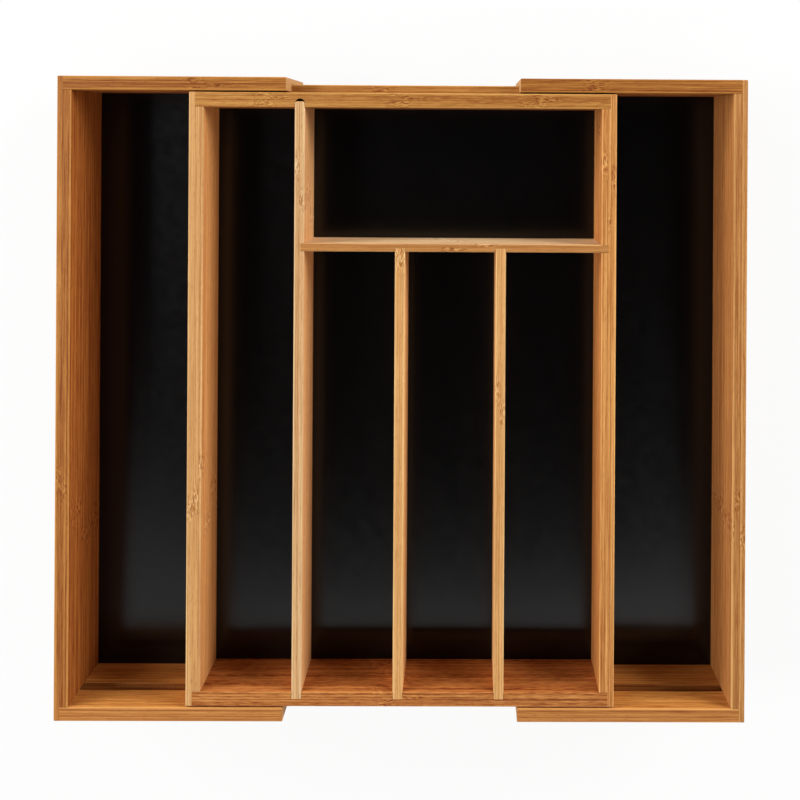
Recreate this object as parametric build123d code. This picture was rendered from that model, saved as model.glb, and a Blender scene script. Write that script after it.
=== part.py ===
"""An expanding bamboo cutlery tray that lies in a drawer.

A centre tray with five compartments carries a runner along its front and its rear. Two outer
trays hold it between them: each has grooved rails that slide along the runners, so that a
further compartment opens between its end wall and the centre tray. The trays are drawn fully
pulled out.

X runs across the tray, the way it expands, with the left tray at -X. Y runs from the front,
at -Y, to the rear. Z is up from the drawer's floor. The origin is on the floor, under the
middle of the tray. Every size is in millimetres.
"""
from build123d import *
import os

# Overall sizes
tray_depth = 455.0  # front to rear, over the rails
tray_height = 60.0  # floor to rim
side_opening = 83.0  # clear width of an outer compartment, fully pulled out

# Compartments of the centre tray
slot_width = 64.2  # each of the first three long slots, counted from the left
right_slot_width = 67.6  # the last slot, against the right wall
rear_bin_depth = 96.3  # the wide bin behind the three short slots

# Boards
outer_wall = 9.8  # thickness of the outer trays' rails and end walls
centre_wall = 10.4  # thickness of the centre tray's four walls
divider_thickness = 7.1
cross_thickness = 5.5
edge_radius = 0.7  # sanded along every exposed edge

# Slide
runner_height = 7.0
runner_level = 38.0  # middle of the runner above the drawer's floor
runner_seat = 2.0  # how deep the runner is let into the centre tray's wall
groove_depth = 6.0  # groove in the rail's inner face
groove_end_gap = 0.5  # from the runner's edge to the bottom of the groove
slide_gap = 0.3  # above and below the runner in its groove
rail_gap = 1.0  # between a rail and the centre tray's wall
lift_gap = 0.8  # between the outer trays' panels and the centre tray's walls
closing_gap = 0.5  # left between an end wall and the centre tray when pushed in
meeting_gap = 0.6  # left between the rails of the two outer trays when pushed in

# Base panels
base_thickness = 3.0
outer_base_rise = 9.0  # outer panel's underside above the outer tray's lower edge
centre_base_rise = 8.0  # centre panel's underside above the centre tray's lower edge
base_groove_depth = 5.0
base_edge_gap = 0.3  # between a panel's edge and the bottom of its groove

# Corner joints and housings
outer_lip = 4.0  # of the end wall, left outside the rail's end
centre_lip = 4.5  # of the side wall, left outside the front or rear wall's end
housing_depth = 5.0  # of a divider's end in a wall
shallow_housing_depth = 2.5  # of a divider's end in another divider
routed_slot_depth = 6.1  # round-ended slot for the long divider's rear end
divider_nose_radius = 1.5  # upright edges of that rear end, eased to enter the slot

# Places across the tray, from the compartments outwards
divider_count = 3
centre_width = (
    2 * centre_wall + divider_count * (slot_width + divider_thickness) + right_slot_width
)
centre_half_width = centre_width / 2
centre_inner_x = centre_half_width - centre_wall
end_wall_inner_x = centre_half_width + side_opening
outer_half_width = end_wall_inner_x + outer_wall
travel = side_opening - closing_gap
rail_end_x = travel + meeting_gap / 2

# Places from front to rear, from the rails inwards
half_depth = tray_depth / 2
rail_inner_y = half_depth - outer_wall
centre_half_depth = rail_inner_y - rail_gap
centre_inner_y = centre_half_depth - centre_wall
cross_rear_y = centre_inner_y - rear_bin_depth
cross_front_y = cross_rear_y - cross_thickness

# Levels, from the floor up
outer_base_levels = (outer_base_rise, outer_base_rise + base_thickness)
centre_bottom = outer_base_levels[1] + lift_gap
centre_base_underside = centre_bottom + centre_base_rise
centre_base_levels = (centre_base_underside, centre_base_underside + base_thickness)
outer_levels = (0, tray_height)
centre_levels = (centre_bottom, tray_height)
divider_levels = (centre_base_levels[1], tray_height)
runner_levels = (runner_level - runner_height / 2, runner_level + runner_height / 2)
groove_levels = (runner_levels[0] - slide_gap, runner_levels[1] + slide_gap)


def block(x, y, z):
    """A plain block between two limits along each of X, Y and Z."""
    size = Box(x[1] - x[0], y[1] - y[0], z[1] - z[0])
    return Pos((x[0] + x[1]) / 2, (y[0] + y[1]) / 2, (z[0] + z[1]) / 2) * size


def board(x, y, z, grain, free_ends=()):
    """A board with its four edges along the grain sanded round, and those of its free ends.

    free_ends picks end faces by their place along the grain: 0 for the first, -1 for the last.
    """
    plain = block(x, y, z)
    edges = list(plain.edges().filter_by(grain))
    for end in free_ends:
        edges += plain.faces().sort_by(grain)[end].edges()
    return fillet(edges, edge_radius)


def full_height_cut(x, y):
    """A cut through the whole height of the tray, for a rebate or a housing."""
    return block(x, y, outer_levels)


# Outer trays. One is worked out on the right, and the left one is its mirror image.
def end_wall():
    """The end wall runs through to both corners, with a rebate for each rail's end."""
    wall = board(
        (end_wall_inner_x, outer_half_width),
        (-half_depth, half_depth),
        outer_levels,
        Axis.Y,
        free_ends=(0, -1),
    )
    rebate_x = (end_wall_inner_x, outer_half_width - outer_lip)
    for y in ((rail_inner_y, half_depth), (-half_depth, -rail_inner_y)):
        wall -= full_height_cut(rebate_x, y)
    groove_x = (end_wall_inner_x, end_wall_inner_x + base_groove_depth)
    return wall - block(groove_x, (-rail_inner_y, rail_inner_y), outer_base_levels)


def rear_rail():
    """A rail holds the base panel in one groove and slides on the runner in another."""
    rail_x = (rail_end_x, outer_half_width - outer_lip)
    rail = board(rail_x, (rail_inner_y, half_depth), outer_levels, Axis.X, free_ends=(0,))
    rail -= block(rail_x, (rail_inner_y, rail_inner_y + groove_depth), groove_levels)
    base_groove_y = (rail_inner_y, rail_inner_y + base_groove_depth)
    return rail - block(rail_x, base_groove_y, outer_base_levels)


def outer_base():
    """The outer panel fills the grooves on three sides and ends flush with the rails."""
    tongue = base_groove_depth - base_edge_gap
    half_y = rail_inner_y + tongue
    return block(
        (rail_end_x, end_wall_inner_x + tongue), (-half_y, half_y), outer_base_levels
    )


# Centre tray
def divider_x(place):
    """Limits in X of the divider at a place counted from the left, from 0."""
    left = -centre_inner_x + slot_width + place * (slot_width + divider_thickness)
    return (left, left + divider_thickness)


long_divider_x = divider_x(0)
routed_slot_round_y = centre_inner_y + routed_slot_depth - divider_thickness / 2
short_divider_places = {
    "short_divider_left": divider_x(1),
    "short_divider_right": divider_x(2),
}


def right_wall():
    """A side wall runs through to both corners, like the end walls of the outer trays."""
    wall = board(
        (centre_inner_x, centre_half_width),
        (-centre_half_depth, centre_half_depth),
        centre_levels,
        Axis.Y,
        free_ends=(0, -1),
    )
    rebate_x = (centre_inner_x, centre_half_width - centre_lip)
    for y in (
        (centre_inner_y, centre_half_depth),
        (-centre_half_depth, -centre_inner_y),
    ):
        wall -= full_height_cut(rebate_x, y)
    groove_x = (centre_inner_x, centre_inner_x + base_groove_depth)
    return wall - block(groove_x, (-centre_inner_y, centre_inner_y), centre_base_levels)


def rear_wall():
    """The rear wall before its housings, grooved outside for the runner, inside for the base."""
    half_x = centre_half_width - centre_lip
    x = (-half_x, half_x)
    wall = board(x, (centre_inner_y, centre_half_depth), centre_levels, Axis.X)
    wall -= block(x, (centre_half_depth - runner_seat, centre_half_depth), runner_levels)
    groove_y = (centre_inner_y, centre_inner_y + base_groove_depth)
    return wall - block(x, groove_y, centre_base_levels)


def routed_slot():
    """A slot cut down the rear wall by a round cutter, so its far end is half round."""
    middle_x = (long_divider_x[0] + long_divider_x[1]) / 2
    straight = full_height_cut(long_divider_x, (centre_inner_y, routed_slot_round_y))
    round_end = Cylinder(divider_thickness / 2, tray_height)
    return straight + Pos(middle_x, routed_slot_round_y, tray_height / 2) * round_end


def housings_in_front_wall():
    """The front ends of all three long boards stand in housings in the front wall."""
    y = (-centre_inner_y - housing_depth, -centre_inner_y)
    places = [long_divider_x, *short_divider_places.values()]
    return [full_height_cut(x, y) for x in places]


def runner():
    """The rear runner, let into the wall and reaching almost to the groove's bottom."""
    y = (
        centre_half_depth - runner_seat,
        rail_inner_y + groove_depth - groove_end_gap,
    )
    return board((-centre_half_width, centre_half_width), y, runner_levels, Axis.X)


def runner_notches():
    """Where the runner passes the side walls, it is let into them too."""
    y = (centre_half_depth - runner_seat, centre_half_depth)
    x = (centre_half_width - centre_lip, centre_half_width)
    rear = block(x, y, runner_levels)
    return rear + mirror(rear, about=Plane.XZ)


def long_divider():
    """The long divider, with a shallow housing on its right for the cross divider.

    Its square rear end can't fill the slot's round one, so a small hole is left between them.
    """
    y = (-centre_inner_y - housing_depth, routed_slot_round_y + divider_nose_radius)
    plain = block(long_divider_x, y, divider_levels)
    nose = plain.faces().sort_by(Axis.Y)[-1].edges().filter_by(Axis.Z)
    divider = fillet(nose, divider_nose_radius)
    divider = fillet(divider.edges().filter_by(Axis.Y), edge_radius)
    housing_x = (long_divider_x[1] - shallow_housing_depth, long_divider_x[1])
    return divider - full_height_cut(housing_x, (cross_front_y, cross_rear_y))


def cross_divider():
    """The cross divider closes off the rear bin and holds the short dividers' rear ends."""
    x = (long_divider_x[1] - shallow_housing_depth, centre_inner_x + housing_depth)
    divider = board(x, (cross_front_y, cross_rear_y), divider_levels, Axis.X)
    housing_y = (cross_front_y, cross_front_y + shallow_housing_depth)
    for place in short_divider_places.values():
        divider -= full_height_cut(place, housing_y)
    return divider


def short_divider(place):
    """A short divider, from the front wall's housing to the cross divider's."""
    y = (-centre_inner_y - housing_depth, cross_front_y + shallow_housing_depth)
    return board(place, y, divider_levels, Axis.Y)


def centre_base():
    """The centre panel stands in grooves on all four sides."""
    tongue = base_groove_depth - base_edge_gap
    half_x, half_y = centre_inner_x + tongue, centre_inner_y + tongue
    return block((-half_x, half_x), (-half_y, half_y), centre_base_levels)


def outer_tray_pieces():
    """Both outer trays, by node name."""
    rail = rear_rail()
    right = {
        "end_wall": end_wall(),
        "rear_rail": rail,
        "front_rail": mirror(rail, about=Plane.XZ),
        "base": outer_base(),
    }
    pieces = {}
    for name, piece in right.items():
        pieces["right_" + name] = piece
        pieces["left_" + name] = mirror(piece, about=Plane.YZ)
    return pieces


def centre_tray_pieces():
    """The centre tray, by node name."""
    side = right_wall() - runner_notches()
    cross_housing_x = (centre_inner_x, centre_inner_x + housing_depth)
    cross_housing = full_height_cut(cross_housing_x, (cross_front_y, cross_rear_y))
    wall = rear_wall()
    front = mirror(wall, about=Plane.XZ)
    for housing in housings_in_front_wall():
        front -= housing
    rear_runner = runner()
    pieces = {
        "centre_left_wall": mirror(side, about=Plane.YZ),
        "centre_right_wall": side - cross_housing,
        "centre_rear_wall": wall - routed_slot(),
        "centre_front_wall": front,
        "centre_base": centre_base(),
        "rear_runner": rear_runner,
        "front_runner": mirror(rear_runner, about=Plane.XZ),
        "long_divider": long_divider(),
        "cross_divider": cross_divider(),
    }
    for name, place in short_divider_places.items():
        pieces[name] = short_divider(place)
    return pieces


def main():
    """Writes one file for each piece, and prints the sizes that the pieces come to."""
    os.makedirs("parts", exist_ok=True)
    for name, piece in {**centre_tray_pieces(), **outer_tray_pieces()}.items():
        export_step(piece, f"parts/{name}.step")
    print("pulled out", 2 * outer_half_width, "by", tray_depth, "by", tray_height)
    print("centre tray", centre_width, "travel of each outer tray", travel)


main()
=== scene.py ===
"""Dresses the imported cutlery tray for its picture: bamboo boards, black base panels and a plain studio."""

import logging
import math
from dataclasses import dataclass
from enum import Enum

import bmesh
import bpy
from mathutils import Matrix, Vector


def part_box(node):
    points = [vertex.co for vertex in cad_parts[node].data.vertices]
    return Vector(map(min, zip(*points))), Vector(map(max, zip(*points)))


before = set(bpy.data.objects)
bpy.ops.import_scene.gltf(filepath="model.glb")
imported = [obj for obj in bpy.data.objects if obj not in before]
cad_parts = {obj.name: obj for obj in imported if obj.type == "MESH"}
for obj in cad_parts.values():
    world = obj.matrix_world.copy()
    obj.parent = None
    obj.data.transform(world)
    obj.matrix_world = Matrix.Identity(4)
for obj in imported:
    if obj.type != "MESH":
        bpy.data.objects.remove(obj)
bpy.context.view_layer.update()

MM = 0.001
IMAGE_SIZE = 800
NOISE_LOW, NOISE_HIGH = 0.3, 0.7  # Nearly all of a noise texture's values lie between these.
LOG = logging.getLogger("cutlery_tray")


def linear(hex_colour: str) -> tuple[float, float, float, float]:
    """Turns an sRGB hex colour into the linear colour that a socket takes.

    Args:
        hex_colour: Six hex digits after a hash sign, such as "#B0703C".

    Returns:
        Red, green, blue and alpha, linear, from 0 to 1.
    """
    channels = [int(hex_colour[i:i + 2], 16) / 255 for i in (1, 3, 5)]
    return (*(c / 12.92 if c <= 0.04045 else ((c + 0.055) / 1.055) ** 2.4 for c in channels), 1.0)


def add_node(tree: bpy.types.NodeTree, kind: str, inputs: dict | None = None,
             stops: list[tuple[float, tuple]] | None = None, **settings: object) -> bpy.types.Node:
    """Adds one node with its settings and fills or links its inputs.

    Args:
        tree: The node tree that the node goes into.
        kind: Blender's name for the kind of node, such as "ShaderNodeMath".
        inputs: What each input gets, by its name or number: a socket is linked, anything else is its value.
        stops: Place from 0 to 1 and linear colour of each stop of a colour ramp, in order.
        **settings: The node's own properties, such as operation="MULTIPLY".

    Returns:
        The new node.
    """
    node = tree.nodes.new(kind)
    for name, value in settings.items():
        setattr(node, name, value)
    for key, value in (inputs or {}).items():
        if isinstance(value, bpy.types.NodeSocket):
            tree.links.new(value, node.inputs[key])
        else:
            node.inputs[key].default_value = value
    for i, (place, colour) in enumerate(stops or ()):
        elements = node.color_ramp.elements
        stop = elements[i] if i < len(elements) else elements.new(place)
        stop.position, stop.color = place, colour
    return node


def seen_share(tree: bpy.types.NodeTree) -> bpy.types.NodeSocket:
    """Tells rays that show a surface, to the camera, in gloss and through glass, from those that light.

    Args:
        tree: The node tree of the material or the world.

    Returns:
        1 for a ray that shows the surface, and 0 for one that carries its light to other surfaces.
    """
    rays = add_node(tree, "ShaderNodeLightPath")
    seen = add_node(tree, "ShaderNodeMath", {
        0: rays.outputs["Is Camera Ray"], 1: rays.outputs["Is Glossy Ray"],
    }, operation="MAXIMUM").outputs[0]
    return add_node(tree, "ShaderNodeMath", {0: seen, 1: rays.outputs["Is Transmission Ray"]},
                    operation="MAXIMUM").outputs[0]


def blank_material(name: str) -> bpy.types.Material:
    """Makes a material with an empty node tree.

    Args:
        name: The material's name.

    Returns:
        The material.
    """
    material = bpy.data.materials.new(name)
    material.use_nodes = True
    material.node_tree.nodes.clear()
    return material


def put_on(node: str, material: bpy.types.Material) -> None:
    """Gives a CAD node one material in place of those that it has.

    Args:
        node: The CAD node's name.
        material: The material.
    """
    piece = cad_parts[node]
    piece.data.materials.clear()
    piece.data.materials.append(material)
    LOG.info("dressed %s in %s", node, material.name)


class Grain(Enum):
    """The way that a board's fibres run."""

    ACROSS = "x"
    DEEP = "y"


class Batch(Enum):
    """The batches of strips in the boards, each by its middle colour, from brown to pale."""

    TOFFEE = "#A76828"
    RUSSET = "#AD6D2F"
    COPPER = "#B56F32"
    TAWNY = "#B77C39"
    CARAMEL = "#BA7738"
    AMBER = "#C18648"
    GINGER = "#D5944F"
    HONEY = "#D6A063"
    WHEAT = "#DDA463"
    STRAW = "#DAAB75"


@dataclass(frozen=True)
class LaminatedBamboo:
    """Laminated bamboo, sanded smooth and sealed with a thin matt lacquer.

    The eye gets fine straight fibres with thin red-brown veins, strips of slightly different colour with
    darker glue lines between the plies, and here and there a knuckle, where the fibres ripple. A painted
    highlight runs along the edges, and the upright faces carry a painted shade of their own. A pattern's
    size is its length along the grain, its width and its height. A shade is what the linear red, green and
    blue of a colour are multiplied with.

    Attributes:
        batch: The batch of its strips.
        plies: Where the glue lines lie in the thickness, from 0 to 1.
        strip_height: Height of one strip.
        strip_contrast: How much the strips differ in tone.
        figure: How strongly streaks and fibres show.
        fibre: Size of the fibres.
        streak: Size of the broad streaks.
        ripple: Size of the fibres' waves in a knuckle.
        bundle: Spacing of the vascular bundles.
        bundle_radius: Their radius away from a knuckle and in one, as a share of their spacing.
        bundle_strength: How dark they are.
        wander: How far the fibres stray sideways, away from a knuckle and in one.
        knuckle_spacing: Distance between knuckles.
        knuckle_scatter: How far the strips' knuckles are shifted. Below 0 the same shifts go the other way.
        knuckle_reach: How far a knuckle reaches to each side.
        darker: Shade of the darkest fibres.
        lighter: Shade of the lightest fibres and of the worn edges.
        painted_face_shade: Shade of the broad faces.
        glue: Shade of the glue lines.
        glue_half: Half the width of a glue line, wider than a real one, so that it shows.
        vein_strength: How dark the veins are.
        vein_half: Half their width, as a share of the range of the streaks' noise.
        painted_edge_highlight: How strong the painted highlight along the edges is.
        highlight_band: Distance from an edge where the painted highlight starts to fade, and where it ends.
        cut_end: Colour of the pith on a cut end.
        roughness: Middle roughness of the lacquer.
        roughness_spread: How much rougher a dark fibre is, and how much smoother a light one.
        pore_depth: Depth of the fibres' relief under the lacquer.
    """

    batch: Batch
    plies: tuple[float, ...] = (0.42, 0.84)
    strip_height: float = 13.5 * MM
    strip_contrast: float = 0.12
    figure: float = 1.0
    fibre: tuple[float, float, float] = (26 * MM, 0.7 * MM, 0.9 * MM)
    streak: tuple[float, float, float] = (220 * MM, 1.4 * MM, 1.9 * MM)
    ripple: tuple[float, float, float] = (3.4 * MM, 0.8 * MM, 0.9 * MM)
    bundle: tuple[float, float, float] = (9 * MM, 1.0 * MM, 1.0 * MM)
    bundle_radius: tuple[float, float] = (0.24, 0.36)
    bundle_strength: float = 0.55
    wander: tuple[float, float] = (0.4 * MM, 3.5 * MM)
    knuckle_spacing: float = 340 * MM
    knuckle_scatter: float = 50 * MM
    knuckle_reach: float = 15 * MM
    darker: tuple[float, float, float] = (0.44, 0.26, 0.15)
    # lighter: Shade of the lightest fibres and of the painted highlights along the edges.
    lighter: tuple[float, float, float] = (1.42, 1.72, 2.25)
    # painted_face_shade: Painted shade and light on the upright faces, unlike the top and bottom.
    painted_face_shade: tuple[float, float, float] = (0.83, 0.72, 0.68)
    glue: tuple[float, float, float] = (0.50, 0.36, 0.26)
    glue_half: float = 0.4 * MM
    vein_strength: float = 0.4
    vein_half: float = 0.045
    painted_edge_highlight: float = 1.0
    highlight_band: tuple[float, float] = (0.5 * MM, 1.3 * MM)
    cut_end: str = "#B5854F"
    roughness: float = 0.66
    roughness_spread: float = 0.06
    pore_depth: float = 0.08 * MM

    def material(self, node: str, grain: Grain, knuckle: float, seed: float) -> bpy.types.Material:
        """Builds the material for one board.

        Args:
            node: The board's CAD node, which gives its place and thickness.
            grain: The way that its fibres run.
            knuckle: Where its knuckle is along its grain, in metres, as x or y in the shared frame.
            seed: A number that makes this board's strips differ from the next one's.

        Returns:
            The material.
        """
        low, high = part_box(node)
        material = blank_material(f"laminated_bamboo_{node}")
        tree = material.node_tree

        # The board's own axes: along its grain from the knuckle, through its thickness, and up from its
        # lower edge.
        coordinates = add_node(tree, "ShaderNodeTexCoord")
        if grain is Grain.ACROSS:
            thickness, place, turn = high.y - low.y, (-knuckle, -low.y, -low.z), 0.0
        else:
            thickness, place, turn = high.x - low.x, (-knuckle, high.x, -low.z), -math.pi / 2
        board = add_node(tree, "ShaderNodeMapping", {
            "Vector": coordinates.outputs["Object"], "Location": place, "Rotation": (0, 0, turn),
        }, vector_type="POINT").outputs[0]
        along, depth, height = add_node(tree, "ShaderNodeSeparateXYZ", {0: board}).outputs
        through = add_node(tree, "ShaderNodeMapRange", {"Value": depth, "From Max": thickness}).outputs[0]

        chance = self.strips(tree, through, height, seed)
        near = self.knuckles(tree, along, chance)
        fibres = self.wandering(tree, board, near, seed)
        fine = self.stretched(tree, fibres, self.fibre, seed, 2.0)
        broad = self.stretched(tree, fibres, self.streak, seed + 3.0, 1.0)
        # A knuckle's ripples are as strong on a plain board as on a figured one: the figure is divided out.
        ripple = self.stretched(tree, fibres, self.ripple, seed + 5.0, 1.0)
        swing = 0.36 / self.figure
        ripple = add_node(tree, "ShaderNodeMapRange", {
            "Value": ripple, "From Min": 0.36, "From Max": 0.64, "To Min": 0.5 - swing, "To Max": 0.5 + swing,
        }).outputs[0]
        fine = add_node(tree, "ShaderNodeMix", {0: near, 2: fine, 3: ripple}).outputs[0]

        # Strips, streaks and fibres add up to a tone, from dark through the batch's middle colour to light.
        tone = add_node(tree, "ShaderNodeMath", {0: fine, 1: broad}, operation="ADD").outputs[0]
        tone = add_node(tree, "ShaderNodeMath", {0: tone, 1: self.figure, 2: 0.5 - self.figure},
                        operation="MULTIPLY_ADD").outputs[0]
        strip = add_node(tree, "ShaderNodeMath", {0: chance, 1: 0.5}, operation="SUBTRACT").outputs[0]
        tone = add_node(tree, "ShaderNodeMath", {0: strip, 1: self.strip_contrast, 2: tone},
                        operation="MULTIPLY_ADD").outputs[0]
        dark, light = self.tinted(self.darker), self.tinted(self.lighter)
        colour = add_node(tree, "ShaderNodeValToRGB", {0: tone}, stops=[
            (0.1, dark), (0.3, self.tinted(self.darker, 0.5)), (0.5, linear(self.batch.value)),
            (0.7, self.tinted(self.lighter, 0.5)), (0.9, light),
        ]).outputs[0]

        # Veins: thin red-brown lines that follow the streaks.
        vein = add_node(tree, "ShaderNodeMath", {0: broad, 1: 0.5}, operation="SUBTRACT").outputs[0]
        vein = add_node(tree, "ShaderNodeMath", {0: vein}, operation="ABSOLUTE").outputs[0]
        vein = add_node(tree, "ShaderNodeMapRange", {
            "Value": vein, "From Max": self.vein_half, "To Min": self.vein_strength, "To Max": 0.0,
        }).outputs[0]
        colour = add_node(tree, "ShaderNodeMix", {0: vein, 6: colour, 7: dark}, data_type="RGBA").outputs[2]

        bundles = self.bundles(tree, fibres, near)
        colour = add_node(tree, "ShaderNodeMix", {0: bundles, 6: colour, 7: dark},
                          data_type="RGBA").outputs[2]
        colour = self.glued(tree, colour, through, thickness, broad)
        side = add_node(tree, "ShaderNodeMath", {0: depth, 1: thickness / 2}, operation="PINGPONG").outputs[0]
        colour = self.machined(tree, colour, along, side, height)

        # Painted shade and light: the upright faces get a shade of their own, up to the edge's round, which
        # stands in for how the lamps light them, unlike the top and bottom.
        normal = add_node(tree, "ShaderNodeSeparateXYZ", {0: coordinates.outputs["Normal"]}).outputs
        upward = add_node(tree, "ShaderNodeMath", {0: normal[2]}, operation="ABSOLUTE").outputs[0]
        upward = add_node(tree, "ShaderNodeMapRange", {
            "Value": upward, "From Min": 0.3, "From Max": 0.7,
        }).outputs[0]
        shade = add_node(tree, "ShaderNodeMix", {0: upward, 6: (*self.painted_face_shade, 1), 7: (1, 1, 1, 1)},
                         data_type="RGBA").outputs[2]
        colour = add_node(tree, "ShaderNodeMix", {0: 1.0, 6: colour, 7: shade},
                          data_type="RGBA", blend_type="MULTIPLY").outputs[2]

        # Painted highlight: the edges' rounds are made paler, in patches that follow the streaks.
        edge = add_node(tree, "ShaderNodeMath", {0: height, 1: (high.z - low.z) / 2},
                        operation="PINGPONG").outputs[0]
        edge = add_node(tree, "ShaderNodeCombineXYZ", {0: side, 1: edge}).outputs[0]
        edge = add_node(tree, "ShaderNodeVectorMath", {0: edge}, operation="LENGTH").outputs["Value"]
        edge = add_node(tree, "ShaderNodeMapRange", {
            "Value": edge, "From Min": self.highlight_band[0], "From Max": self.highlight_band[1],
            "To Min": self.painted_edge_highlight, "To Max": 0.0,
        }).outputs[0]
        highlight_patches = add_node(tree, "ShaderNodeMapRange", {
            "Value": broad, "From Min": 0.35, "From Max": 0.65, "To Min": 0.3,
        }).outputs[0]
        edge = add_node(tree, "ShaderNodeMath", {0: edge, 1: highlight_patches}, operation="MULTIPLY").outputs[0]
        colour = add_node(tree, "ShaderNodeMix", {0: edge, 6: colour, 7: light}, data_type="RGBA").outputs[2]

        # Cut ends: the same bundles seen end on, dark dots on pale pith.
        facing = add_node(tree, "ShaderNodeMath", {0: normal[0 if grain is Grain.ACROSS else 1]},
                          operation="ABSOLUTE").outputs[0]
        cut = add_node(tree, "ShaderNodeMapRange", {
            "Value": facing, "From Min": 0.6, "From Max": 0.9,
        }).outputs[0]
        end = add_node(tree, "ShaderNodeMix", {0: bundles, 6: linear(self.cut_end), 7: dark},
                       data_type="RGBA").outputs[2]
        colour = add_node(tree, "ShaderNodeMix", {0: cut, 6: colour, 7: end}, data_type="RGBA").outputs[2]

        roughness = add_node(tree, "ShaderNodeMapRange", {
            "Value": fine, "From Min": NOISE_LOW, "From Max": NOISE_HIGH,
            "To Min": self.roughness + self.roughness_spread,
            "To Max": self.roughness - self.roughness_spread,
        }).outputs[0]
        bump = add_node(tree, "ShaderNodeBump", {
            "Height": fine, "Strength": 0.06, "Distance": self.pore_depth,
        }).outputs[0]
        # The thin lacquer sank into the open pores, which keeps the sheen to about half that of a full film.
        surface = add_node(tree, "ShaderNodeBsdfPrincipled", {
            "Base Color": colour, "Roughness": roughness, "IOR": 1.45, "Specular IOR Level": 0.25,
            "Normal": bump,
        })
        add_node(tree, "ShaderNodeOutputMaterial", {"Surface": surface.outputs[0]})
        return material

    def tinted(self, shade: tuple[float, float, float],
               share: float = 1.0) -> tuple[float, float, float, float]:
        """The batch's middle colour in a shade, or part of the way there, kept below white."""
        brightest = 0.92
        return (*(min(c * f ** share, brightest) for c, f in zip(linear(self.batch.value), shade)), 1.0)

    def strips(self, tree: bpy.types.NodeTree, through: bpy.types.NodeSocket, height: bpy.types.NodeSocket,
               seed: float) -> bpy.types.NodeSocket:
        """Gives each strip of the laminate a random number.

        Args:
            tree: The material's node tree.
            through: Place through the thickness, from 0 to 1.
            height: Height above the board's lower edge, in metres.
            seed: The board's own number.

        Returns:
            A number from 0 to 1, the same all over a strip.
        """
        first, step = 0.1, 0.25
        ply = add_node(tree, "ShaderNodeValToRGB", {0: through}, stops=[
            (edge, (first + i * step,) * 3 + (1.0,)) for i, edge in enumerate((0.0, *self.plies))
        ])
        ply.color_ramp.interpolation = "CONSTANT"
        row = add_node(tree, "ShaderNodeMath", {0: height, 1: self.strip_height},
                       operation="DIVIDE").outputs[0]
        row = add_node(tree, "ShaderNodeMath", {0: row}, operation="FLOOR").outputs[0]
        strip = add_node(tree, "ShaderNodeCombineXYZ", {0: ply.outputs[0], 1: row}).outputs[0]
        return add_node(tree, "ShaderNodeTexWhiteNoise", {"Vector": strip, "W": seed},
                        noise_dimensions="4D").outputs["Value"]

    def knuckles(self, tree: bpy.types.NodeTree, along: bpy.types.NodeSocket,
                 chance: bpy.types.NodeSocket) -> bpy.types.NodeSocket:
        """Finds how near a point is to its strip's knuckle. Each strip's knuckle is shifted a little.

        Args:
            tree: The material's node tree.
            along: Distance along the grain from the board's knuckle, in metres.
            chance: The strip's random number.

        Returns:
            1 in the knuckle's middle, down to 0 at its ends.
        """
        shift = add_node(tree, "ShaderNodeMath", {
            0: chance, 1: self.knuckle_scatter, 2: -self.knuckle_scatter / 2,
        }, operation="MULTIPLY_ADD").outputs[0]
        shift = add_node(tree, "ShaderNodeMath", {0: along, 1: shift}, operation="ADD").outputs[0]
        distance = add_node(tree, "ShaderNodeMath", {0: shift, 1: self.knuckle_spacing / 2},
                            operation="PINGPONG").outputs[0]
        return add_node(tree, "ShaderNodeMapRange", {
            "Value": distance, "From Min": 0.0, "From Max": self.knuckle_reach, "To Min": 1.0, "To Max": 0.0,
        }, interpolation_type="SMOOTHSTEP").outputs[0]

    def wandering(self, tree: bpy.types.NodeTree, board: bpy.types.NodeSocket, near: bpy.types.NodeSocket,
                  seed: float) -> bpy.types.NodeSocket:
        """Lets the fibres wander a little everywhere, and more round a knuckle.

        Args:
            tree: The material's node tree.
            board: The point on the board's own axes.
            near: How near it is to a knuckle.
            seed: The board's own number.

        Returns:
            The point moved sideways, so that what is drawn on it wanders.
        """
        length, width = 9 * MM, 4 * MM
        bend = add_node(tree, "ShaderNodeVectorMath", {0: board, 1: (1 / length, 1 / width, 1 / width)},
                        operation="MULTIPLY").outputs[0]
        bend = add_node(tree, "ShaderNodeTexNoise", {
            "Vector": bend, "W": seed, "Scale": 1.0, "Detail": 1.0,
        }, noise_dimensions="4D").outputs["Color"]
        bend = add_node(tree, "ShaderNodeVectorMath", {0: bend, 1: (0.5, 0.5, 0.5)},
                        operation="SUBTRACT").outputs[0]
        reach = add_node(tree, "ShaderNodeMapRange", {
            "Value": near, "To Min": self.wander[0], "To Max": self.wander[1],
        }).outputs[0]
        bend = add_node(tree, "ShaderNodeVectorMath", {0: bend, "Scale": reach}, operation="SCALE").outputs[0]
        return add_node(tree, "ShaderNodeVectorMath", {0: board, 1: bend}, operation="ADD").outputs[0]

    def stretched(self, tree: bpy.types.NodeTree, fibres: bpy.types.NodeSocket,
                  size: tuple[float, float, float], seed: float, detail: float) -> bpy.types.NodeSocket:
        """Draws noise that is stretched along the grain.

        Args:
            tree: The material's node tree.
            fibres: The point that it is drawn on.
            size: Length, width and height of one cell of it, in metres.
            seed: A number that sets its pattern.
            detail: How many finer layers it has.

        Returns:
            The noise, about 0.5 on average.
        """
        cells = add_node(tree, "ShaderNodeVectorMath", {0: fibres, 1: tuple(1 / edge for edge in size)},
                         operation="MULTIPLY").outputs[0]
        return add_node(tree, "ShaderNodeTexNoise", {
            "Vector": cells, "W": seed, "Scale": 1.0, "Detail": detail, "Roughness": 0.6,
        }, noise_dimensions="4D").outputs[0]

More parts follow.
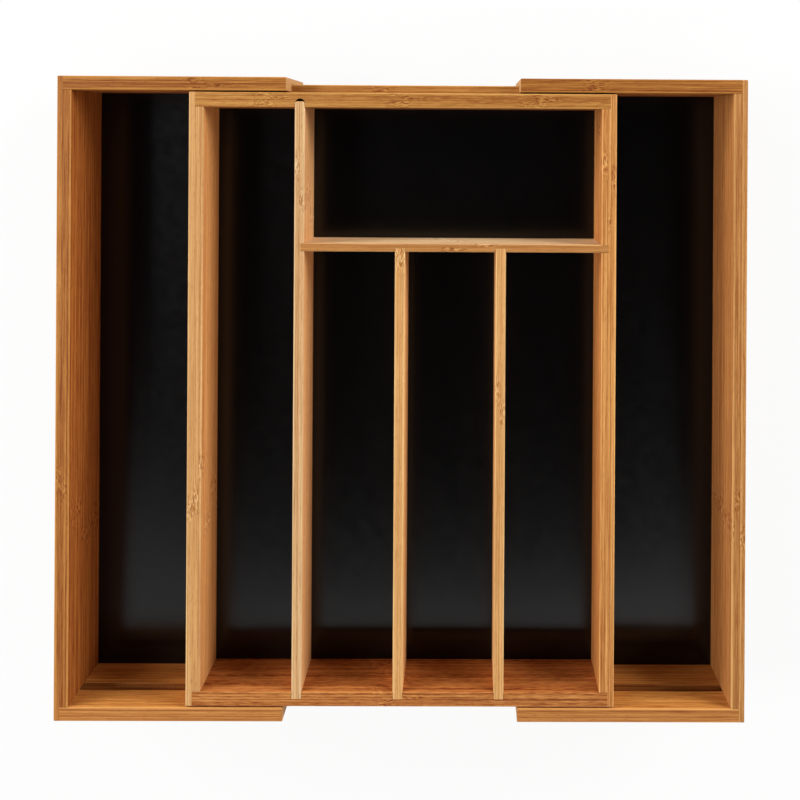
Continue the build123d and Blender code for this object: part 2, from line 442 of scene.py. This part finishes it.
    def bundles(self, tree: bpy.types.NodeTree, fibres: bpy.types.NodeSocket,
                near: bpy.types.NodeSocket) -> bpy.types.NodeSocket:
        """Draws the vascular bundles: short brown dashes along the grain, which are dots on a cut end.

        Args:
            tree: The material's node tree.
            fibres: The point that they are drawn on.
            near: How near it is to a knuckle, where they are larger.

        Returns:
            How far the colour turns to that of a bundle, from 0.
        """
        cells = add_node(tree, "ShaderNodeVectorMath", {
            0: fibres, 1: tuple(1 / edge for edge in self.bundle),
        }, operation="MULTIPLY").outputs[0]
        cells = add_node(tree, "ShaderNodeTexVoronoi", {"Vector": cells, "Scale": 1.0}).outputs["Distance"]
        radius = add_node(tree, "ShaderNodeMapRange", {
            "Value": near, "To Min": self.bundle_radius[0], "To Max": self.bundle_radius[1],
        }).outputs[0]
        inside = add_node(tree, "ShaderNodeMath", {0: radius, 1: cells}, operation="SUBTRACT").outputs[0]
        return add_node(tree, "ShaderNodeMapRange", {
            "Value": inside, "From Min": -0.05, "From Max": 0.2, "To Max": self.bundle_strength,
        }).outputs[0]

    def glued(self, tree: bpy.types.NodeTree, colour: bpy.types.NodeSocket, through: bpy.types.NodeSocket,
              thickness: float, broad: bpy.types.NodeSocket) -> bpy.types.NodeSocket:
        """Draws the glue lines between the plies, which show on the board's narrow edges.

        Args:
            tree: The material's node tree.
            colour: The wood's colour.
            through: Place through the thickness, from 0 to 1.
            thickness: The board's thickness in metres.
            broad: The streaks, which leave a line faint in places.

        Returns:
            The colour with the lines.
        """
        half = self.glue_half / thickness
        clear, glue = (1, 1, 1, 1), (*self.glue, 1)
        stops = [(0.0, clear)]
        for line in self.plies:
            stops += [(line - half, clear), (line, glue), (line + half, clear)]
        lines = add_node(tree, "ShaderNodeValToRGB", {0: through}, stops=stops)
        strength = add_node(tree, "ShaderNodeMapRange", {
            "Value": broad, "From Min": 0.35, "From Max": 0.6, "To Min": 0.35,
        }).outputs[0]
        return add_node(tree, "ShaderNodeMix", {0: strength, 6: colour, 7: lines.outputs[0]},
                        data_type="RGBA", blend_type="MULTIPLY").outputs[2]

    def machined(self, tree: bpy.types.NodeTree, colour: bpy.types.NodeSocket, along: bpy.types.NodeSocket,
                 side: bpy.types.NodeSocket, height: bpy.types.NodeSocket) -> bpy.types.NodeSocket:
        """Leaves the colour as it is, because a plain board has no routed groove."""
        return colour


@dataclass(frozen=True)
class GroovedBamboo(LaminatedBamboo):
    """Laminated bamboo with a routed groove for the runner.

    The eye gets the cutter's marks in the groove: a row of fine upright dashes, darker than the sanded faces.

    Attributes:
        groove_level: Height of the groove's middle above the board's lower edge.
        groove_half: Half its width.
        groove_skin: How far below the broad face a point has to lie to count as inside the groove.
        mark_pitch: Distance between the cutter's marks.
        mark_strength: How dark they are.
    """

    groove_level: float = 38 * MM
    groove_half: float = 3.9 * MM
    groove_skin: float = 0.5 * MM
    mark_pitch: float = 1.9 * MM
    mark_strength: float = 0.6

    def machined(self, tree: bpy.types.NodeTree, colour: bpy.types.NodeSocket, along: bpy.types.NodeSocket,
                 side: bpy.types.NodeSocket, height: bpy.types.NodeSocket) -> bpy.types.NodeSocket:
        """Draws the cutter's marks inside the groove.

        Args:
            tree: The material's node tree.
            colour: The wood's colour.
            along: Distance along the grain, in metres.
            side: Distance from the nearer broad face, in metres.
            height: Height above the board's lower edge, in metres.

        Returns:
            The colour with the marks.
        """
        level = add_node(tree, "ShaderNodeMath", {0: height, 1: self.groove_level},
                         operation="SUBTRACT").outputs[0]
        level = add_node(tree, "ShaderNodeMath", {0: level}, operation="ABSOLUTE").outputs[0]
        level = add_node(tree, "ShaderNodeMath", {0: level, 1: self.groove_half},
                         operation="LESS_THAN").outputs[0]
        inside = add_node(tree, "ShaderNodeMath", {0: side, 1: self.groove_skin},
                          operation="GREATER_THAN").outputs[0]
        inside = add_node(tree, "ShaderNodeMath", {0: inside, 1: level}, operation="MULTIPLY").outputs[0]
        mark = add_node(tree, "ShaderNodeMath", {0: along, 1: self.mark_pitch / 2},
                        operation="PINGPONG").outputs[0]
        mark = add_node(tree, "ShaderNodeMapRange", {
            "Value": mark, "From Max": self.mark_pitch / 2, "To Min": 0.0, "To Max": self.mark_strength,
        }).outputs[0]
        mark = add_node(tree, "ShaderNodeMath", {0: mark, 1: inside}, operation="MULTIPLY").outputs[0]
        return add_node(tree, "ShaderNodeMix", {0: mark, 6: colour, 7: self.tinted(self.darker)},
                        data_type="RGBA").outputs[2]


@dataclass(frozen=True)
class BlackLaminate:
    """Thin fibreboard with a smooth black melamine face.

    The eye gets a deep black with a satin gloss that blurs the studio's lights to soft glows.

    Attributes:
        colour: The melamine's black.
        roughness: Its middle roughness.
        roughness_spread: How much smoother or rougher a patch is.
        mottle: Size of these patches.
        peel: Size of the fine dimples.
        peel_depth: Their depth.
    """

    colour: str = "#060505"
    roughness: float = 0.24
    roughness_spread: float = 0.02
    mottle: float = 7 * MM
    peel: float = 0.8 * MM
    peel_depth: float = 0.02 * MM

    def material(self, node: str, seed: float) -> bpy.types.Material:
        """Builds the material for one base panel.

        Args:
            node: The panel's CAD node.
            seed: A number that makes this panel's mottling differ from the next one's.

        Returns:
            The material.
        """
        material = blank_material(f"black_melamine_{node}")
        tree = material.node_tree
        coordinates = add_node(tree, "ShaderNodeTexCoord")
        cloud = add_node(tree, "ShaderNodeTexNoise", {
            "Vector": coordinates.outputs["Object"], "W": seed, "Scale": 1 / self.mottle, "Detail": 3.0,
        }, noise_dimensions="4D").outputs[0]
        roughness = add_node(tree, "ShaderNodeMapRange", {
            "Value": cloud, "From Min": NOISE_LOW, "From Max": NOISE_HIGH,
            "To Min": self.roughness - self.roughness_spread,
            "To Max": self.roughness + self.roughness_spread,
        }).outputs[0]
        skin = add_node(tree, "ShaderNodeTexNoise", {
            "Vector": coordinates.outputs["Object"], "Scale": 1 / self.peel, "Detail": 1.0,
        }).outputs[0]
        bump = add_node(tree, "ShaderNodeBump", {
            "Height": skin, "Strength": 0.1, "Distance": self.peel_depth,
        }).outputs[0]
        surface = add_node(tree, "ShaderNodeBsdfPrincipled", {
            "Base Color": linear(self.colour), "Roughness": roughness, "IOR": 1.4, "Normal": bump,
        })
        add_node(tree, "ShaderNodeOutputMaterial", {"Surface": surface.outputs[0]})
        return material


@dataclass(frozen=True)
class Board:
    """One bamboo board of the tray.

    Attributes:
        node: Its CAD node.
        finish: Its bamboo.
        grain: The way that its fibres run.
        knuckle_mm: Where its knuckle is along its grain, in millimetres.
    """

    node: str
    finish: LaminatedBamboo
    grain: Grain
    knuckle_mm: float

    def dress(self, seed: float) -> None:
        """Gives the CAD node its bamboo. The seed makes its strips differ from the next board's."""
        put_on(self.node, self.finish.material(self.node, self.grain, self.knuckle_mm * MM, seed))


@dataclass(frozen=True)
class Panel:
    """One black base panel of the tray.

    Attributes:
        node: Its CAD node.
        finish: Its black face.
    """

    node: str
    finish: BlackLaminate = BlackLaminate()

    def dress(self, seed: float) -> None:
        """Gives the CAD node its black face. The seed makes it differ from the next panel's."""
        put_on(self.node, self.finish.material(self.node, seed))


@dataclass
class OuterTray:
    """One of the two outer trays: an end wall, two grooved rails and a base panel.

    Attributes:
        side: "left" or "right", which starts its nodes' names.
        wall: The end wall's bamboo.
        rear_rail: The rear rail's bamboo.
        front_rail: The front rail's bamboo.
        knuckles_mm: The places of the knuckles of the wall, the rear rail and the front rail. A place past a
            board's end leaves it without one.
        first_seed: The seed of its first piece.
    """

    side: str
    wall: LaminatedBamboo
    rear_rail: GroovedBamboo
    front_rail: GroovedBamboo
    knuckles_mm: tuple[float, float, float]
    first_seed: float

    def dress(self) -> None:
        """Dresses the four pieces."""
        wall, rear, front = self.knuckles_mm
        Board(f"{self.side}_end_wall", self.wall, Grain.DEEP, wall).dress(self.first_seed)
        Board(f"{self.side}_rear_rail", self.rear_rail, Grain.ACROSS, rear).dress(self.first_seed + 7)
        Board(f"{self.side}_front_rail", self.front_rail, Grain.ACROSS, front).dress(self.first_seed + 13)
        Panel(f"{self.side}_base").dress(self.first_seed + 19)


@dataclass
class CentreTray:
    """The divided tray in the middle, with the runners on its front and rear walls.

    Attributes:
        first_seed: The seed of its first piece.
    """

    first_seed: float

    def boards(self) -> list[Board]:
        """Lists the bamboo boards, each with its finish and the place of its knuckle.

        Returns:
            The ten boards, from the walls to the dividers.
        """
        # The second is a painted shade for the upright faces of the pale boards.
        faint_glue, warm_painted_shade = (0.75, 0.62, 0.52), (0.95, 0.81, 0.70)
        # Pale boards get fainter glue lines and a weaker painted highlight on their edges.
        pale = {"glue": faint_glue, "painted_edge_highlight": 0.5}
        wavy = {"strip_contrast": 0.25, "fibre": (9 * MM, 0.7 * MM, 0.9 * MM)}
        left = LaminatedBamboo(Batch.HONEY, plies=(0.2, 0.54), figure=0.4, painted_face_shade=warm_painted_shade, **pale)
        right = LaminatedBamboo(Batch.GINGER, plies=(0.35, 0.6), figure=0.8, knuckle_spacing=500 * MM,
                                knuckle_scatter=128 * MM, painted_edge_highlight=0.6, painted_face_shade=(0.83, 0.76, 0.75))
        front = LaminatedBamboo(Batch.COPPER, plies=(0.48, 0.85), figure=1.6, painted_edge_highlight=0.15, **wavy)
        rear = LaminatedBamboo(Batch.TAWNY, plies=(0.49, 0.77), figure=0.85, knuckle_spacing=96 * MM, **wavy)
        runner = LaminatedBamboo(Batch.TAWNY, plies=())
        long = LaminatedBamboo(Batch.STRAW, plies=(0.5,), figure=0.5, knuckle_spacing=500 * MM,
                               painted_face_shade=warm_painted_shade, **pale)
        # The cross divider's upright faces get a painted light, far paler than its top.
        cross = LaminatedBamboo(Batch.AMBER, plies=(0.6,), figure=0.5, glue=faint_glue, painted_edge_highlight=0.0,
                                painted_face_shade=(1.6, 2.3, 4.3))
        short = LaminatedBamboo(Batch.WHEAT, plies=(0.5,), figure=0.5, painted_face_shade=(1.0, 0.93, 0.95), **pale)
        return [
            Board("centre_left_wall", left, Grain.DEEP, -70),
            Board("centre_right_wall", right, Grain.DEEP, 131),
            Board("centre_front_wall", front, Grain.ACROSS, 8),
            Board("centre_rear_wall", rear, Grain.ACROSS, 4),
            Board("front_runner", runner, Grain.ACROSS, -40),
            Board("rear_runner", runner, Grain.ACROSS, 5),
            Board("long_divider", long, Grain.DEEP, 150),
            Board("cross_divider", cross, Grain.ACROSS, 44),
            Board("short_divider_left", short, Grain.DEEP, 111),
            Board("short_divider_right", short, Grain.DEEP, -2),
        ]

    def dress(self) -> None:
        """Dresses the eleven pieces."""
        for i, board in enumerate(self.boards()):
            board.dress(self.first_seed + 5 * i)
        Panel("centre_base").dress(self.first_seed + 90)


@dataclass(frozen=True)
class Lamp:
    """A soft lamp turned to the tray.

    Attributes:
        name: Its name.
        centre: Its place.
        width: Its width.
        height: Its height.
        brightness: Its brightness, where 1 is that of white paper in the picture.
        aim: The point that it is turned to, half-way up the tray.
    """

    name: str
    centre: tuple[float, float, float]
    width: float
    height: float
    brightness: float
    aim: tuple[float, float, float] = (0.0, 0.0, 30 * MM)

    def build(self) -> None:
        """Stands the lamp beside or over the tray."""
        data = bpy.data.lights.new(self.name, "AREA")
        data.shape, data.size, data.size_y = "RECTANGLE", self.width, self.height
        data.energy = self.brightness * self.width * self.height * math.pi
        lamp = bpy.data.objects.new(self.name, data)
        lamp.location = self.centre
        lamp.rotation_euler = (Vector(self.aim) - lamp.location).to_track_quat("-Z", "Y").to_euler()
        lamp.visible_camera = False
        bpy.context.scene.collection.objects.link(lamp)


@dataclass
class Studio:
    """A plain pale floor in white surroundings, a dark ceiling over the camera, and soft lamps.

    Two lamps stand low behind the tray, soft boxes hang at its left, its right and in front, and one more
    lamp stands low in front.

    Attributes:
        floor_half_width: Half the floor's width.
        floor_white: How much of the floor is seen as plain white. Its card's shade and shadow are the rest.
        ceiling_radius: The ceiling's radius.
        ceiling_height: Its height.
        surroundings: How bright the white around is as a light on matt surfaces.
        lamps: The lamps.
    """

    floor_half_width: float = 5.0
    floor_white: float = 0.9
    ceiling_radius: float = 1.66
    ceiling_height: float = 2.3
    surroundings: float = 0.12
    lamps: tuple[Lamp, ...] = (
        Lamp("rear_right_lamp", (1.41, 0.85, 0.53), 1.2, 0.62, 12.2),
        Lamp("rear_left_lamp", (-1.36, 0.92, 0.46), 1.5, 0.34, 13.8),
        Lamp("right_softbox", (1.35, -0.63, 1.48), 1.0, 0.56, 3.2),
        Lamp("front_lamp", (0.15, -1.6, 0.28), 1.4, 0.3, 6.0),
        Lamp("front_softbox", (0.1, -1.475, 1.5), 1.3, 0.6, 1.35),
        Lamp("left_softbox", (-1.62, 0.1, 1.41), 1.0, 0.56, 14.0),
    )

    def floor_material(self) -> bpy.types.Material:
        """Makes pale matt card, which reads white to the camera and keeps a soft shadow.

        Returns:
            The material.
        """
        material = blank_material("pale_card")
        tree = material.node_tree
        share = add_node(tree, "ShaderNodeMath", {0: seen_share(tree), 1: self.floor_white},
                         operation="MULTIPLY").outputs[0]
        card = add_node(tree, "ShaderNodeBsdfDiffuse", {"Color": (0.88, 0.88, 0.88, 1)}).outputs[0]
        white = add_node(tree, "ShaderNodeEmission", {"Strength": 1.0}).outputs[0]
        mix = add_node(tree, "ShaderNodeMixShader", {0: share, 1: card, 2: white}).outputs[0]
        add_node(tree, "ShaderNodeOutputMaterial", {"Surface": mix})
        return material

    def ceiling_material(self) -> bpy.types.Material:
        """Makes matt black cloth, so that the panels have a dark ceiling to reflect.

        Returns:
            The material.
        """
        material = blank_material("black_cloth")
        tree = material.node_tree
        cloth = add_node(tree, "ShaderNodeBsdfDiffuse", {"Color": (0.01, 0.01, 0.01, 1)}).outputs[0]
        add_node(tree, "ShaderNodeOutputMaterial", {"Surface": cloth})
        return material

    def build_sheet(self, name: str, mesh: bmesh.types.BMesh,
                    material: bpy.types.Material) -> bpy.types.Object:
        """Makes a stage object of a mesh.

        Args:
            name: The object's name.
            mesh: The mesh, which is freed.
            material: Its material.

        Returns:
            The object, marked as stage.
        """
        data = bpy.data.meshes.new(name)
        mesh.to_mesh(data)
        mesh.free()
        sheet = bpy.data.objects.new(name, data)
        sheet.data.materials.append(material)
        bpy.context.scene.collection.objects.link(sheet)
        return sheet

    def build_floor(self) -> None:
        """Lays the floor at the level that the tray stands on."""
        mesh = bmesh.new()
        bmesh.ops.create_grid(mesh, x_segments=1, y_segments=1, size=self.floor_half_width)
        self.build_sheet("floor", mesh, self.floor_material())

    def build_ceiling(self) -> None:
        """Hangs the dark ceiling over the camera."""
        mesh = bmesh.new()
        bmesh.ops.create_circle(mesh, cap_ends=True, segments=48, radius=self.ceiling_radius)
        bmesh.ops.translate(mesh, verts=mesh.verts, vec=(0, 0, self.ceiling_height))
        self.build_sheet("ceiling", mesh, self.ceiling_material())

    def build_surroundings(self) -> None:
        """Makes the world white where it is seen, and a dimmer fill light on matt surfaces."""
        world = bpy.data.worlds.new("white_surroundings")
        world.use_nodes = True
        tree = world.node_tree
        tree.nodes.clear()
        fill = add_node(tree, "ShaderNodeBackground", {
            "Color": (1, 1, 1, 1), "Strength": self.surroundings,
        }).outputs[0]
        white = add_node(tree, "ShaderNodeBackground", {"Color": (1, 1, 1, 1), "Strength": 1.0}).outputs[0]
        mix = add_node(tree, "ShaderNodeMixShader", {0: seen_share(tree), 1: fill, 2: white}).outputs[0]
        add_node(tree, "ShaderNodeOutputWorld", {"Surface": mix})
        bpy.context.scene.world = world

    def build(self) -> None:
        """Builds the floor, the ceiling, the surroundings and the lamps."""
        self.build_floor()
        self.build_ceiling()
        self.build_surroundings()
        for lamp in self.lamps:
            lamp.build()
        LOG.info("built the studio")


@dataclass
class Camera:
    """The photograph's camera.

    It looks almost straight down on the tray's rear half, with the frame shifted to take in the front.

    Attributes:
        across: Its place as x.
        deep: Its place as y.
        height: Its height above the floor.
        lean_degrees: How far it leans sideways.
        roll_degrees: How far it is turned about the upright.
        focal_pixels: Its focal length, in pixels of the picture.
        sensor: Its sensor's width, in millimetres.
        axis_pixel: The pixel that its lens's axis goes through, from the picture's upper left corner.
    """

    across: float = 46.2 * MM
    deep: float = 187.3 * MM
    height: float = 633.9 * MM
    lean_degrees: float = -0.29
    roll_degrees: float = 0.347
    focal_pixels: float = 812.6
    sensor: float = 36.0
    axis_pixel: tuple[float, float] = (472.7, 135.0)

    def build(self) -> None:
        """Builds the camera and makes it the scene's own."""
        data = bpy.data.cameras.new("camera")
        data.sensor_width = self.sensor
        data.lens = self.focal_pixels * self.sensor / IMAGE_SIZE
        data.shift_x = 0.5 - self.axis_pixel[0] / IMAGE_SIZE
        data.shift_y = self.axis_pixel[1] / IMAGE_SIZE - 0.5
        data.clip_start, data.clip_end = 0.01, 50.0
        camera = bpy.data.objects.new("camera", data)
        camera.location = (self.across, self.deep, self.height)
        camera.rotation_euler = (0, math.radians(self.lean_degrees), math.radians(self.roll_degrees))
        bpy.context.scene.collection.objects.link(camera)
        bpy.context.scene.camera = camera
        LOG.info("built the camera")


def main() -> None:
    """Builds the camera and the studio, and dresses the three trays."""
    logging.basicConfig(level=logging.INFO)
    bpy.context.scene.view_settings.view_transform = "Standard"
    Camera().build()
    Studio().build()
    # The front rails' upright faces get a painted light, paler than their tops.
    front_rail = GroovedBamboo(Batch.CARAMEL, plies=(0.38, 0.8), figure=0.75, painted_face_shade=(1.2, 1.3, 1.25))
    OuterTray(
        "left",
        wall=LaminatedBamboo(Batch.RUSSET, plies=(0.15, 0.55), knuckle_scatter=-110 * MM,
                             painted_face_shade=(0.83, 0.70, 0.63)),
        rear_rail=GroovedBamboo(Batch.TOFFEE, plies=(0.25, 0.5), figure=1.2, strip_contrast=0.3),
        front_rail=front_rail,
        knuckles_mm=(-60, -148, -330),
        first_seed=11,
    ).dress()
    OuterTray(
        "right",
        wall=LaminatedBamboo(Batch.AMBER, plies=(0.43, 0.8), figure=0.8, painted_edge_highlight=0.6,
                             painted_face_shade=(0.83, 0.76, 0.75)),
        rear_rail=GroovedBamboo(Batch.TOFFEE, plies=(0.51,), figure=1.2, strip_contrast=0.25),
        front_rail=front_rail,
        knuckles_mm=(-95, 139, 10),
        first_seed=41,
    ).dress()
    CentreTray(first_seed=71).dress()


if __name__ == "__main__":
    main()
